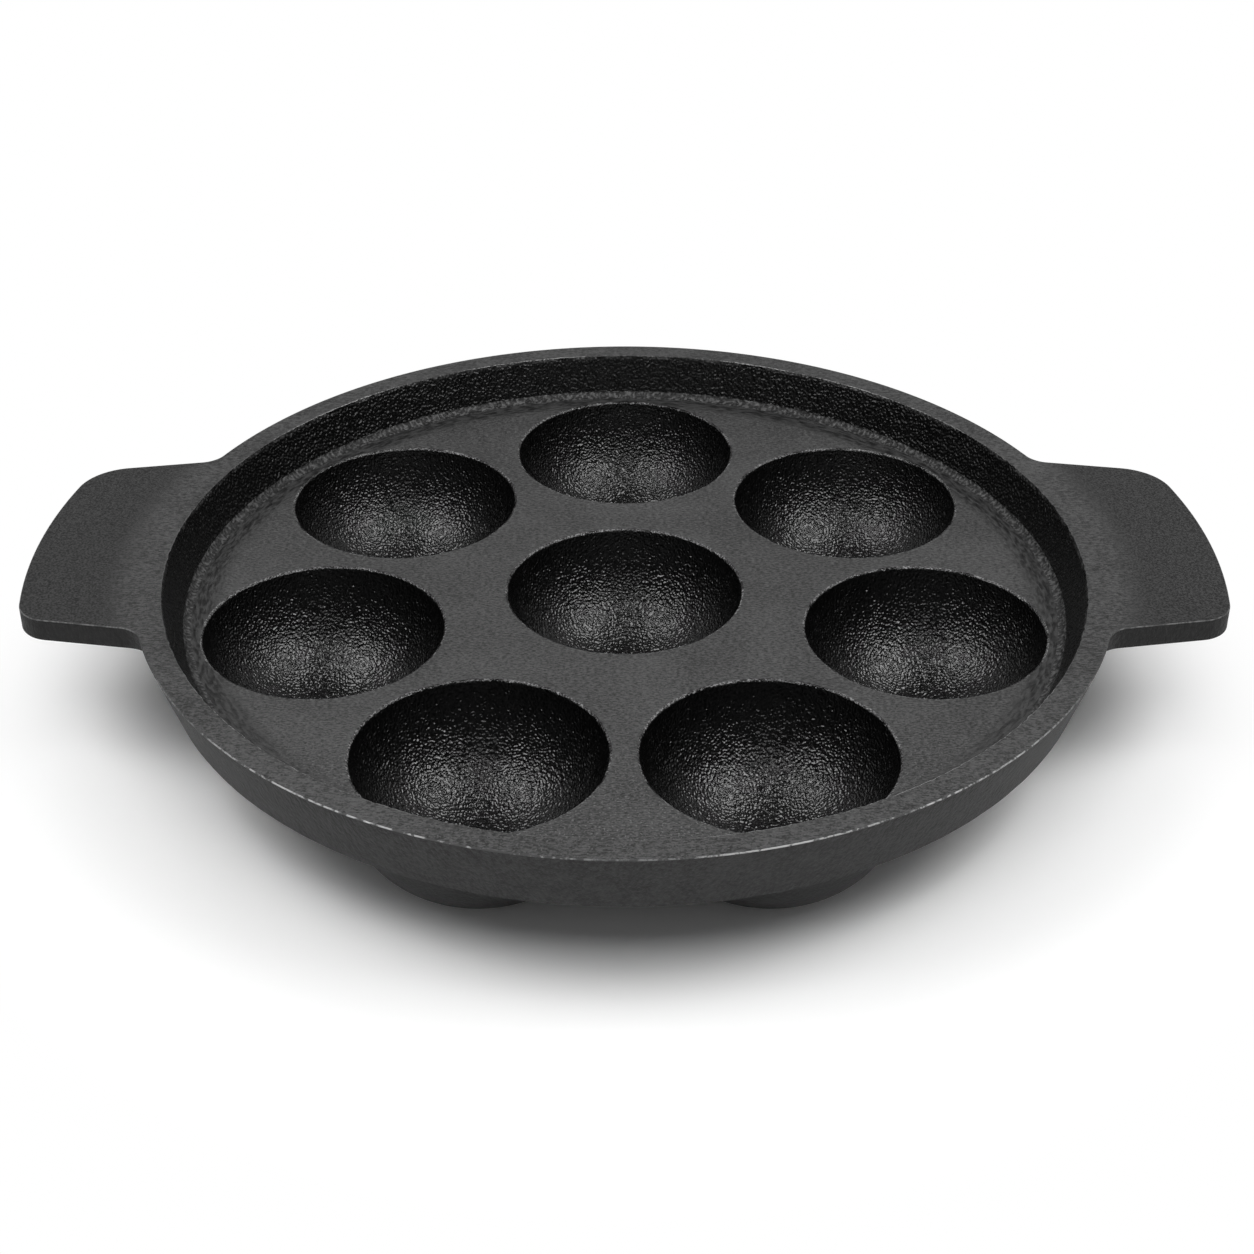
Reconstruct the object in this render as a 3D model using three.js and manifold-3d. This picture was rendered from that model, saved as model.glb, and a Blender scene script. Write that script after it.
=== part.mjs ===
// Paniyaram pan of black cast iron: a recessed round deck with a ring of bowl-shaped cups about a
// middle one, a raised rim and two flat tab handles. Millimetres, +Z up. The pan stands on the flat
// feet of its cups, with the origin on the ground under the middle of the rim, and its handles lie
// along X. The casting is divided where one form meets the next, so each form is a solid of its own.

import * as THREE from 'three';
import { mergeVertices } from 'three/addons/utils/BufferGeometryUtils.js';
import Module from 'manifold-3d';

// Cups
const RING_CUP_COUNT = 7;
const CUP_MOUTH_RADIUS = 25.8;
const CUP_DEPTH = 23.6;
const CUP_FLOOR = 4.4;
const CUP_LIP_RADIUS = 0.6;
const CUP_WEB = 5.9; // deck left between the mouths of two neighbours in the ring
const CUP_GAP = 1.6; // air between the outsides of two neighbours, just under the deck
const FOOT_RADIUS = 9;
const MIDDLE_CUP_SET_BACK = 2; // how far the middle cup stands behind the middle of the ring

// Deck and rim
const RECESS_DEPTH = 9.6;
const DECK_THICKNESS = 5.2;
const DECK_MARGIN = 1.2; // flat deck left between the ring cups' lips and the cove
const COVE_RADIUS = 2.2;
const RIM_TOP_WIDTH = 5.65;
const RIM_INNER_DRAFT = THREE.MathUtils.degToRad(24);
const RIM_OUTER_DRAFT = THREE.MathUtils.degToRad(18);

// Handles
const HANDLE_REACH = 23.85; // from the rim's top outer edge to the end of the tab
const HANDLE_WIDTH = 66.4; // at the middle of the reach
const HANDLE_TAPER = THREE.MathUtils.degToRad(9.5);
const HANDLE_THICKNESS = 5;
const HANDLE_SET_BACK = 6.5; // how far both tabs stand behind the middle of the pan
const HANDLE_ROOT_FILLET = 6;
const HANDLE_BACK_CORNER = 12;
const HANDLE_FRONT_CORNER = 7.5;

// Shared details
const EDGE_RADIUS = 0.6;
const SEAM_GAP = 0.3; // clearance where two curved forms of the casting meet
const OVERCUT = 5; // how far a cutting body runs past what it cuts
const SAME_POINT = 0.001;

// Fineness of the facets
const CUP_SIDES = 32;
const RIM_SIDES = 80;
const BOWL_STEPS = 6;
const COLLAR_STEPS = 2;
const DOME_STEPS = 5;
const ROUND_STEPS = 2;
const OUTLINE_STEPS = 4;

// Heights
const deckTop = CUP_FLOOR + CUP_DEPTH;
const deckBottom = deckTop - DECK_THICKNESS;
const rimTop = deckTop + RECESS_DEPTH;

// Radii of the cups
const cupPitch = 2 * CUP_MOUTH_RADIUS + CUP_WEB;
const cupRingRadius = cupPitch / (2 * Math.sin(Math.PI / RING_CUP_COUNT));
const bowlRadius = (CUP_MOUTH_RADIUS ** 2 + CUP_DEPTH ** 2) / (2 * CUP_DEPTH);
const bowlCentre = CUP_FLOOR + bowlRadius;
const domeTopRadius = (cupPitch - CUP_GAP) / 2;

// Radii of the deck and the rim
const coveRun = COVE_RADIUS * Math.tan((Math.PI / 2 - RIM_INNER_DRAFT) / 2);
const lipReach = cupRingRadius + CUP_MOUTH_RADIUS + CUP_LIP_RADIUS;
const seamRadius = lipReach + DECK_MARGIN / 2;
const wallFootRadius = lipReach + DECK_MARGIN + coveRun;
const rimInnerRadius = wallFootRadius + RECESS_DEPTH * Math.tan(RIM_INNER_DRAFT);
const rimOuterRadius = rimInnerRadius + RIM_TOP_WIDTH;
const handleEndRadius = rimOuterRadius + HANDLE_REACH;

const wasm = await Module();
wasm.setup();

// Radius of the rim's outer face at a given height
function outerFaceRadius(z) {
  return rimOuterRadius - (rimTop - z) * Math.tan(RIM_OUTER_DRAFT);
}

// Radius of a cup's bowl at a given height
function bowlRadiusAt(z) {
  return Math.sqrt(Math.max(0, bowlRadius ** 2 - (z - bowlCentre) ** 2));
}

// Points along a circular arc, both ends included
function arcPoints(centre, radius, from, to, steps) {
  return Array.from({ length: steps + 1 }, (_, i) => {
    const angle = THREE.MathUtils.lerp(from, to, i / steps);
    return new THREE.Vector2(centre.x + radius * Math.cos(angle), centre.y + radius * Math.sin(angle));
  });
}

// The points of a closed outline, with one point kept where two stretches meet
function withoutRepeats(points) {
  return points.filter((point, i) => point.distanceTo(points.at(i - 1)) > SAME_POINT);
}

// A corner of a profile, rounded between the points before and after it
function roundedCorner(before, corner, after, radius) {
  const back = before.clone().sub(corner).normalize();
  const ahead = after.clone().sub(corner).normalize();
  const half = Math.acos(back.dot(ahead)) / 2;
  const centre = back.clone().add(ahead).normalize().multiplyScalar(radius / Math.sin(half)).add(corner);
  const run = radius / Math.tan(half);
  const start = back.multiplyScalar(run).add(corner).sub(centre);
  const end = ahead.multiplyScalar(run).add(corner).sub(centre);
  const from = Math.atan2(start.y, start.x);
  const turn = Math.atan2(start.cross(end), start.dot(end));
  return arcPoints(centre, radius, from, from + turn, ROUND_STEPS);
}

// A closed body of revolution about Z from a profile of (radius, height) points
function revolve(profile, sides) {
  return new THREE.LatheGeometry(profile, sides).rotateX(Math.PI / 2);
}

// A solid for cutting, made from a closed geometry
function solidOf(geometry) {
  const bare = geometry.clone();
  bare.deleteAttribute('normal');
  bare.deleteAttribute('uv');
  const welded = mergeVertices(bare);
  const corners = welded.index.array;
  const kept = [];
  for (let i = 0; i < corners.length; i += 3) {
    const [a, b, c] = corners.slice(i, i + 3);
    const collapsed = a === b || b === c || c === a;
    if (!collapsed) kept.push(a, b, c);
  }
  return new wasm.Manifold(new wasm.Mesh({
    numProp: 3,
    vertProperties: welded.attributes.position.array,
    triVerts: new Uint32Array(kept),
  }));
}

// The geometry of a solid that has been cut
function geometryOf(solid) {
  const { vertProperties, triVerts } = solid.getMesh();
  const geometry = new THREE.BufferGeometry();
  geometry.setAttribute('position', new THREE.BufferAttribute(vertProperties, 3));
  geometry.setIndex(new THREE.BufferAttribute(triVerts, 1));
  geometry.computeVertexNormals();
  return geometry;
}

// Black cast iron, ground on the top faces and left rough from the mould elsewhere
function groundIron() {
  return new THREE.MeshStandardMaterial({ color: 0x4e4e4e, roughness: 0.62, metalness: 0.55 });
}

function castIron() {
  return new THREE.MeshStandardMaterial({ color: 0x333333, roughness: 0.55, metalness: 0.5 });
}

function piece(name, geometry, material) {
  const mesh = new THREE.Mesh(geometry, material);
  mesh.name = name;
  return mesh;
}

// The bowl's profile from one height to another
function bowlProfile(fromHeight, toHeight, steps) {
  const centre = new THREE.Vector2(0, bowlCentre);
  const angleAt = (z) => Math.atan2(z - bowlCentre, bowlRadiusAt(z));
  return arcPoints(centre, bowlRadius, angleAt(fromHeight), angleAt(toHeight), steps);
}

// Where the cups stand: the ring starts at the back and the middle one comes last
function cupPlaces() {
  const ring = Array.from({ length: RING_CUP_COUNT }, (_, i) => {
    const angle = Math.PI / 2 + (2 * Math.PI * i) / RING_CUP_COUNT;
    const place = new THREE.Vector3(Math.cos(angle), Math.sin(angle), 0).multiplyScalar(cupRingRadius);
    return { name: `cup_${i + 1}`, place };
  });
  return [...ring, { name: 'cup_middle', place: new THREE.Vector3(0, MIDDLE_CUP_SET_BACK, 0) }];
}

// One cup under the deck: a bowl inside, a dome outside and a flat foot
function cupGeometry() {
  const rise = domeTopRadius - FOOT_RADIUS;
  const domeRadius = (rise ** 2 + deckBottom ** 2) / (2 * rise);
  const domeCentre = new THREE.Vector2(domeTopRadius - domeRadius, deckBottom);
  const footAngle = Math.atan2(-deckBottom, FOOT_RADIUS - domeCentre.x);
  const profile = [
    new THREE.Vector2(0, 0),
    ...arcPoints(domeCentre, domeRadius, footAngle, 0, DOME_STEPS),
    ...bowlProfile(deckBottom, CUP_FLOOR, BOWL_STEPS),
  ];
  profile.at(-1).x = 0;
  return revolve(profile, CUP_SIDES);
}

// The hollow of one cup as a cutting body, with the rounded lip at its mouth
function cupHollow() {
  const lipDrop = deckTop - CUP_LIP_RADIUS;
  const lipCentre = new THREE.Vector2(bowlRadiusAt(lipDrop) + CUP_LIP_RADIUS, lipDrop);
  const profile = [
    ...bowlProfile(CUP_FLOOR, deckBottom, BOWL_STEPS),
    ...bowlProfile(deckBottom, lipDrop, COLLAR_STEPS).slice(1, -1),
    ...arcPoints(lipCentre, CUP_LIP_RADIUS, Math.PI, Math.PI / 2, ROUND_STEPS),
    new THREE.Vector2(lipCentre.x, deckTop + OVERCUT),
    new THREE.Vector2(0, deckTop + OVERCUT),
  ];
  profile[0].x = 0;
  return revolve(profile, CUP_SIDES);
}

// The recessed deck, a plate with the mouths of all the cups through it
function deckGeometry() {
  const edge = seamRadius - SEAM_GAP / 2;
  const plate = revolve([
    new THREE.Vector2(0, deckBottom),
    new THREE.Vector2(edge, deckBottom),
    new THREE.Vector2(edge, deckTop),
    new THREE.Vector2(0, deckTop),
  ], RIM_SIDES);
  const hollow = cupHollow();
  const cut = cupPlaces().reduce(
    (solid, { place }) => solid.subtract(solidOf(hollow.clone().translate(place.x, place.y, place.z))),
    solidOf(plate),
  );
  return geometryOf(cut);
}

// The raised rim, from its cove beside the deck over its flat top to its drafted outer face
function rimGeometry() {
  const seat = seamRadius + SEAM_GAP / 2;
  const footBottom = new THREE.Vector2(seat, deckBottom);
  const footTop = new THREE.Vector2(seat, deckTop);
  const wallFoot = new THREE.Vector2(wallFootRadius, deckTop);
  const innerEdge = new THREE.Vector2(rimInnerRadius, rimTop);
  const outerEdge = new THREE.Vector2(rimOuterRadius, rimTop);
  const lowerEdge = new THREE.Vector2(outerFaceRadius(deckBottom), deckBottom);
  const profile = [
    footTop,
    footBottom,
    ...roundedCorner(footBottom, lowerEdge, outerEdge, EDGE_RADIUS),
    ...roundedCorner(lowerEdge, outerEdge, innerEdge, EDGE_RADIUS),
    ...roundedCorner(outerEdge, innerEdge, wallFoot, EDGE_RADIUS),
    ...roundedCorner(innerEdge, wallFoot, footTop, COVE_RADIUS),
    footTop,
  ];
  return revolve(profile, RIM_SIDES);
}

// The whole space inside the rim's outer face, kept clear of by the handles
function rimEnvelope() {
  const low = deckBottom - OVERCUT;
  const high = rimTop + OVERCUT;
  return revolve([
    new THREE.Vector2(0, low),
    new THREE.Vector2(outerFaceRadius(low) + SEAM_GAP, low),
    new THREE.Vector2(outerFaceRadius(high) + SEAM_GAP, high),
    new THREE.Vector2(0, high),
  ], RIM_SIDES);
}

// Where a line meets a circle about the origin, on the far side along the line's direction
function meetCircle(point, direction, radius) {
  const along = point.dot(direction);
  const reach = Math.sqrt(along ** 2 - point.lengthSq() + radius ** 2);
  return direction.clone().multiplyScalar(reach - along).add(point);
}

// One long side of the right-hand tab: the centres of its root fillet and of its outer corner.
// The side is 1 at the back and -1 at the front.
function handleSide(side, corner) {
  const middle = rimOuterRadius + HANDLE_REACH / 2;
  const onEdge = new THREE.Vector2(middle, HANDLE_SET_BACK + (side * HANDLE_WIDTH) / 2);
  const outwards = new THREE.Vector2(Math.cos(HANDLE_TAPER), -side * Math.sin(HANDLE_TAPER));
  const normal = new THREE.Vector2(Math.sin(HANDLE_TAPER), side * Math.cos(HANDLE_TAPER));
  const beside = normal.clone().multiplyScalar(HANDLE_ROOT_FILLET).add(onEdge);
  const within = normal.clone().multiplyScalar(-corner).add(onEdge);
  return {
    corner,
    normalAngle: normal.angle(),
    filletCentre: meetCircle(beside, outwards, rimOuterRadius + HANDLE_ROOT_FILLET),
    cornerCentre: meetCircle(within, outwards, handleEndRadius - corner),
  };
}

// The right-hand tab seen from above, running on into the rim so that it can be cut to it
function handleOutline() {
  const back = handleSide(1, HANDLE_BACK_CORNER);
  const front = handleSide(-1, HANDLE_FRONT_CORNER);
  const root = (end) => end.filletCentre.clone().setLength(seamRadius);
  const shape = new THREE.Shape();
  const fillet = (end, from, to) => {
    shape.absarc(end.filletCentre.x, end.filletCentre.y, HANDLE_ROOT_FILLET, from, to, true);
  };
  const corner = (end, from, to) => {
    shape.absarc(end.cornerCentre.x, end.cornerCentre.y, end.corner, from, to, false);
  };
  const towardsPan = (end) => end.filletCentre.angle() + Math.PI;
  const towardsTab = (end) => end.normalAngle + Math.PI;
  shape.moveTo(root(back).x, root(back).y);
  shape.lineTo(root(front).x, root(front).y);
  fillet(front, towardsPan(front), towardsTab(front));
  corner(front, front.normalAngle, front.cornerCentre.angle());
  shape.absarc(0, 0, handleEndRadius, front.cornerCentre.angle(), back.cornerCentre.angle(), false);
  corner(back, back.cornerCentre.angle(), back.normalAngle);
  fillet(back, towardsTab(back), towardsPan(back));
  return withoutRepeats(shape.getPoints(OUTLINE_STEPS));
}

// A tab handle level with the rim's top, on the right for a side of 1 and on the left for -1
function handleGeometry(side) {
  const outline = handleOutline().map(({ x, y }) => new THREE.Vector2(side * x, y));
  const tab = new THREE.ExtrudeGeometry(new THREE.Shape(outline), {
    depth: HANDLE_THICKNESS - 2 * EDGE_RADIUS,
    bevelSize: EDGE_RADIUS,
    bevelThickness: EDGE_RADIUS,
    bevelOffset: -EDGE_RADIUS,
    bevelSegments: ROUND_STEPS,
  });
  tab.translate(0, 0, rimTop - HANDLE_THICKNESS + EDGE_RADIUS);
  return geometryOf(solidOf(tab).subtract(solidOf(rimEnvelope())));
}

function buildPan() {
  const pan = new THREE.Group();
  pan.add(piece('deck', deckGeometry(), groundIron()));
  pan.add(piece('rim', rimGeometry(), groundIron()));

  const handles = new THREE.Group();
  handles.add(piece('handle_right', handleGeometry(1), groundIron()));
  handles.add(piece('handle_left', handleGeometry(-1), groundIron()));
  pan.add(handles);

  const cups = new THREE.Group();
  for (const { name, place } of cupPlaces()) {
    const cup = piece(name, cupGeometry(), castIron());
    cup.position.copy(place);
    cups.add(cup);
  }
  pan.add(cups);
  return pan;
}

export default buildPan();
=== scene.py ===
"""Paniyaram pan of black cast iron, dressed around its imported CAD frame.

The cups and the deck are made with Geometry Nodes, because their shape follows a rule. The rim and its two
tab handles are one lofted skin, because the casting runs from one into the other without a line.
"""

import logging
import math
from dataclasses import dataclass, field
from enum import Enum
from typing import Any, Callable

import bmesh
import bpy
import numpy as np
from mathutils import Matrix, Vector, noise


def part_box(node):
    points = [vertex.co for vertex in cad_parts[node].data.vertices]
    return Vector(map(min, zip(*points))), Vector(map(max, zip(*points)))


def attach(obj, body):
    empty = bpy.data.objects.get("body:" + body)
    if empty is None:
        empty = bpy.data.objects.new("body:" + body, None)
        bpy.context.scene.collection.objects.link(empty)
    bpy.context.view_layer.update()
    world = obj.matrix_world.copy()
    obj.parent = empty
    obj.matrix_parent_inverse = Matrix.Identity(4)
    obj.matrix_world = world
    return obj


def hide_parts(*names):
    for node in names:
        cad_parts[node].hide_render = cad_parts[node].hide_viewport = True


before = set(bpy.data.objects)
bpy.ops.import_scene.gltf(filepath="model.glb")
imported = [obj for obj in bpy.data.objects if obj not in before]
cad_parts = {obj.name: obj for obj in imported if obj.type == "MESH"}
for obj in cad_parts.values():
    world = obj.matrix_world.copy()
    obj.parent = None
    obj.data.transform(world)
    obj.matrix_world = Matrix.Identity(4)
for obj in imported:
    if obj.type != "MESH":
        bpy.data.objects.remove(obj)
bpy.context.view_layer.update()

Span = tuple[float, float]
Triple = tuple[float, float, float]
Pair = tuple[Any, Any]

LOG = logging.getLogger("paniyaram_pan")
BODY = "root"
MM = 0.001
HALF = 0.5
FULL_TURN = 2 * math.pi
QUARTER_TURN = math.pi / 2
SAME_POINT = 0.002 * MM
SHARP_ANGLE = math.radians(38)
# A range of lengths, in metres, that no point of the pan reaches
NOWHERE: Span = (1.0, 2.0)


class Slot(Enum):
    """The record's material slots."""

    GROUND = "ground_iron"
    CAST = "cast_iron"


class Zone(Enum):
    """The finishes that a face of the rim and handles can have, in the order of its material slots."""

    PEBBLED = 0
    BORDER = 1
    COVE_HIGHLIGHT = 2
    INNER_EDGE = 3
    GROUND = 4
    OUTER_EDGE = 5
    SIDE = 6
    UNDERSIDE = 7


def operation(name: str, reflected: bool = False) -> Callable[..., "Wire"]:
    """Make a method of Wire that adds one Math node.

    Args:
        name: The node's operation.
        reflected: True where the wire is the last term.

    Returns:
        The method, which takes the other terms.
    """
    def apply(wire: "Wire", *others: Any) -> "Wire":
        """Add the Math node."""
        return wire.math(name, *others, wire) if reflected else wire.math(name, wire, *others)

    return apply


class Wire:
    """An output socket that can be used in Python expressions: each operation adds a Math node."""

    __add__, __radd__ = operation("ADD"), operation("ADD", reflected=True)
    __sub__, __rsub__ = operation("SUBTRACT"), operation("SUBTRACT", reflected=True)
    __mul__, __rmul__ = operation("MULTIPLY"), operation("MULTIPLY", reflected=True)
    __truediv__, __rtruediv__ = operation("DIVIDE"), operation("DIVIDE", reflected=True)
    larger, less_than = operation("MAXIMUM"), operation("LESS_THAN")
    sin, cos = operation("SINE"), operation("COSINE")
    arcsin, arccos = operation("ARCSINE"), operation("ARCCOSINE")
    root, size = operation("SQRT"), operation("ABSOLUTE")

    def __init__(self, bench: "NodeBench", socket: bpy.types.NodeSocket) -> None:
        """Keep the bench that makes the nodes, and the socket."""
        self.bench = bench
        self.socket = socket

    def __neg__(self) -> "Wire":
        """The value with its sign turned."""
        return self.math("MULTIPLY", self, -1.0)

    def math(self, operation: str, *terms: Any) -> "Wire":
        """Add one Math node.

        Args:
            operation: The Math node's operation.
            terms: Its inputs in order, as numbers or wires.

        Returns:
            The wire of the result.
        """
        return self.bench.add("ShaderNodeMath", dict(enumerate(terms)), operation=operation)

    def beside(self, key: int | str) -> "Wire":
        """Another output of the same node."""
        return Wire(self.bench, self.socket.node.outputs[key])


class NodeBench:
    """Makes nodes in one node tree."""

    def __init__(self, tree: bpy.types.NodeTree) -> None:
        """Keep the tree."""
        self.tree = tree

    @staticmethod
    def _find(sockets: Any, key: int | str) -> bpy.types.NodeSocket:
        """A node's socket by index, identifier or name.

        Args:
            sockets: The node's inputs or outputs.
            key: The index, identifier or name.

        Returns:
            The socket in use that fits.
        """
        if isinstance(key, int):
            return sockets[key]
        named = [s for s in sockets if s.identifier == key]
        named += [s for s in sockets if s.name == key and s.enabled]
        return named[0]

    def add(self, kind: str, sockets: dict[int | str, Any] | None = None, output: int | str = 0,
            **settings: Any) -> Wire:
        """Make one node.

        Args:
            kind: The node's type.
            sockets: Values or wires for its inputs. A list of wires joins them all.
            output: The output that is handed on.
            settings: The node's settings, which are set before its sockets.

        Returns:
            The wire of that output, or of the node's first input where it has no output.
        """
        node = self.tree.nodes.new(kind)
        for name, value in settings.items():
            setattr(node, name, value)
        for key, value in (sockets or {}).items():
            socket = self._find(node.inputs, key)
            if isinstance(value, list):
                for wire in reversed(value):
                    self.tree.links.new(wire.socket, socket)
            elif isinstance(value, Wire):
                self.tree.links.new(value.socket, socket)
            else:
                socket.default_value = value
        return Wire(self, self._find(node.outputs, output) if node.outputs else node.inputs[0])

    def noise(self, vector: Wire, scale: Any, detail: float = 2.0, roughness: float = 0.5,
              distortion: float = 0.0) -> Wire:
        """A noise value from 0 to 1.

        Args:
            vector: Where it is read.
            scale: Waves to the metre.
            detail: Number of finer layers.
            roughness: How strong the finer layers are.
            distortion: How far the pattern is stirred.

        Returns:
            The noise value.
        """
        return self.add("ShaderNodeTexNoise", {
            "Vector": vector, "Scale": scale, "Detail": detail, "Roughness": roughness,
            "Distortion": distortion}, "Fac")

    def step(self, value: Wire, low: float, high: float) -> Wire:
        """A smooth step.

        Args:
            value: What is measured.
            low: Where the step starts.
            high: Where it is complete.

        Returns:
            0 below low, 1 above high.
        """
        return self.add("ShaderNodeMapRange", {"Value": value, "From Min": low, "From Max": high},
                        interpolation_type="SMOOTHSTEP")

    def xyz(self, vector: Wire) -> tuple[Wire, Wire, Wire]:
        """The three parts of a vector."""
        x = self.add("ShaderNodeSeparateXYZ", {0: vector})
        return x, x.beside(1), x.beside(2)

    def vector(self, x: Any, y: Any, z: Any) -> Wire:
        """A vector from its three parts."""
        return self.add("ShaderNodeCombineXYZ", {0: x, 1: y, 2: z})

    def stretch(self, vector: Wire, scale: Triple) -> Wire:
        """A vector with each part scaled."""
        return self.add("ShaderNodeVectorMath", {0: vector, 1: scale}, operation="MULTIPLY")

    def tint(self, factor: Wire, first: Any, second: Any) -> Wire:
        """A colour between two colours.

        Args:
            factor: 0 for the first colour, 1 for the second.
            first: The first colour, or its wire.
            second: The second colour, or its wire.

        Returns:
            The mixed colour.
        """
        return self.add("ShaderNodeMix", {"Factor_Float": factor, "A_Color": first, "B_Color": second},
                        "Result_Color", data_type="RGBA")

    def blend(self, factor: Wire, first: Wire, second: Wire) -> Wire:
        """A shader between two shaders: the first at a factor of 0, the second at 1."""
        return self.add("ShaderNodeMixShader", {0: factor, 1: first, 2: second})


def grey(level: float) -> tuple[float, float, float, float]:
    """A neutral colour of one linear level."""
    return (level, level, level, 1.0)


WHITE = grey(1.0)


def put_in_scene(name: str, data: Any) -> bpy.types.Object:
    """Make an object at the origin and link it to the scene.

    Args:
        name: Its name.
        data: Its mesh, lamp or camera.

    Returns:
        The object.
    """
    thing = bpy.data.objects.new(name, data)
    bpy.context.scene.collection.objects.link(thing)
    return thing


class MaterialBench(NodeBench):
    """Makes one material: its nodes, its shader and the place that its patterns are read at."""

    def __init__(self, name: str) -> None:
        """Start an empty material.

        Args:
            name: The material's name.
        """
        self.material = bpy.data.materials.new(name)
        self.material.use_nodes = True
        super().__init__(self.material.node_tree)
        self.tree.nodes.clear()
        self.place = self.add("ShaderNodeTexCoord", None, "Object")

    def reach(self) -> Wire:
        """How far a point lies from the pan's upright axis."""
        x, y, _ = self.xyz(self.place)
        return (x * x + y * y).root()

    def bump(self, height: Wire, depth: float, under: Wire | None = None) -> Wire:
        """A bumped normal.

        Args:
            height: The height, from 0 to 1.
            depth: What a height of 1 is, in metres.
            under: A normal that this one is laid over.

        Returns:
            The normal.
        """
        sockets: dict[int | str, Any] = {"Strength": 1.0, "Distance": depth, "Height": height}
        if under is not None:
            sockets["Normal"] = under
        return self.add("ShaderNodeBump", sockets)

    def finish(self, sockets: dict[int | str, Any]) -> bpy.types.Material:
        """Add the surface shader and the output.

        Args:
            sockets: Values and wires of the surface shader.

        Returns:
            The material.
        """
        shader = self.add("ShaderNodeBsdfPrincipled", sockets)
        self.add("ShaderNodeOutputMaterial", {"Surface": shader})
        return self.material


@dataclass(frozen=True)
class PebbledCast:
    """Black iron as it left the mould: small soft pebbles under a thin seasoning."""

    name: str
    low: float = 0.0004
    high: float = 0.0016
    gloss: float = 0.17
    hollow_gloss: float = 0.16
    shine: float = 0.5
    index: float = 1.78
    pebble: float = 0.52 * MM
    pebble_depth: float = 0.235 * MM
    pebble_tops: Span = (0.42, 0.72)
    swell: float = 5.0 * MM
    swell_depth: float = 0.10 * MM
    swell_shade: float = 0.45
    # A lighter colour at set heights: partly rubbing by use, partly painted highlight
    wear_and_highlight: float = 0.0
    wear_and_highlight_heights: Span = NOWHERE
    wear_and_highlight_swells: Span = (0.35, 0.6)
    wear_and_highlight_hollows: float = 0.2
    proud_heights: Span = NOWHERE
    proud_gain: float = 0.38

    def material(self) -> bpy.types.Material:
        """Make the material.

        Returns:
            The material.
        """
        bench = MaterialBench(self.name)
        _, _, height = bench.xyz(bench.place)
        pebbles = bench.noise(bench.place, 1 / self.pebble, detail=0.0)
        swells = bench.noise(bench.place, 1 / self.swell)
        tops = bench.step(pebbles, *self.pebble_tops)
        # Lighter band at set heights, on swells and pebble tops: partly rubbing, partly painted highlight on
        # the cup lips and the wall's brow
        rubbed_and_lit = bench.step(height, *self.wear_and_highlight_heights) * bench.step(swells, *self.wear_and_highlight_swells)
        rubbed_and_lit = rubbed_and_lit * (self.wear_and_highlight_hollows + (1 - self.wear_and_highlight_hollows) * tops)
        shade = tops * ((1 - self.swell_shade) + self.swell_shade * swells)
        skin = bench.tint(shade, grey(self.low), grey(self.high))
        relief = pebbles * (1 + self.proud_gain * bench.step(height, *self.proud_heights))
        return bench.finish({
            "Base Color": bench.tint(rubbed_and_lit, skin, grey(self.wear_and_highlight)),
            "Roughness": self.gloss + self.hollow_gloss * (1 - tops) * swells,
            "IOR": self.index,
            "Specular IOR Level": self.shine,
            "Normal": bench.bump(relief, self.pebble_depth, bench.bump(swells, self.swell_depth)),
        })


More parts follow.
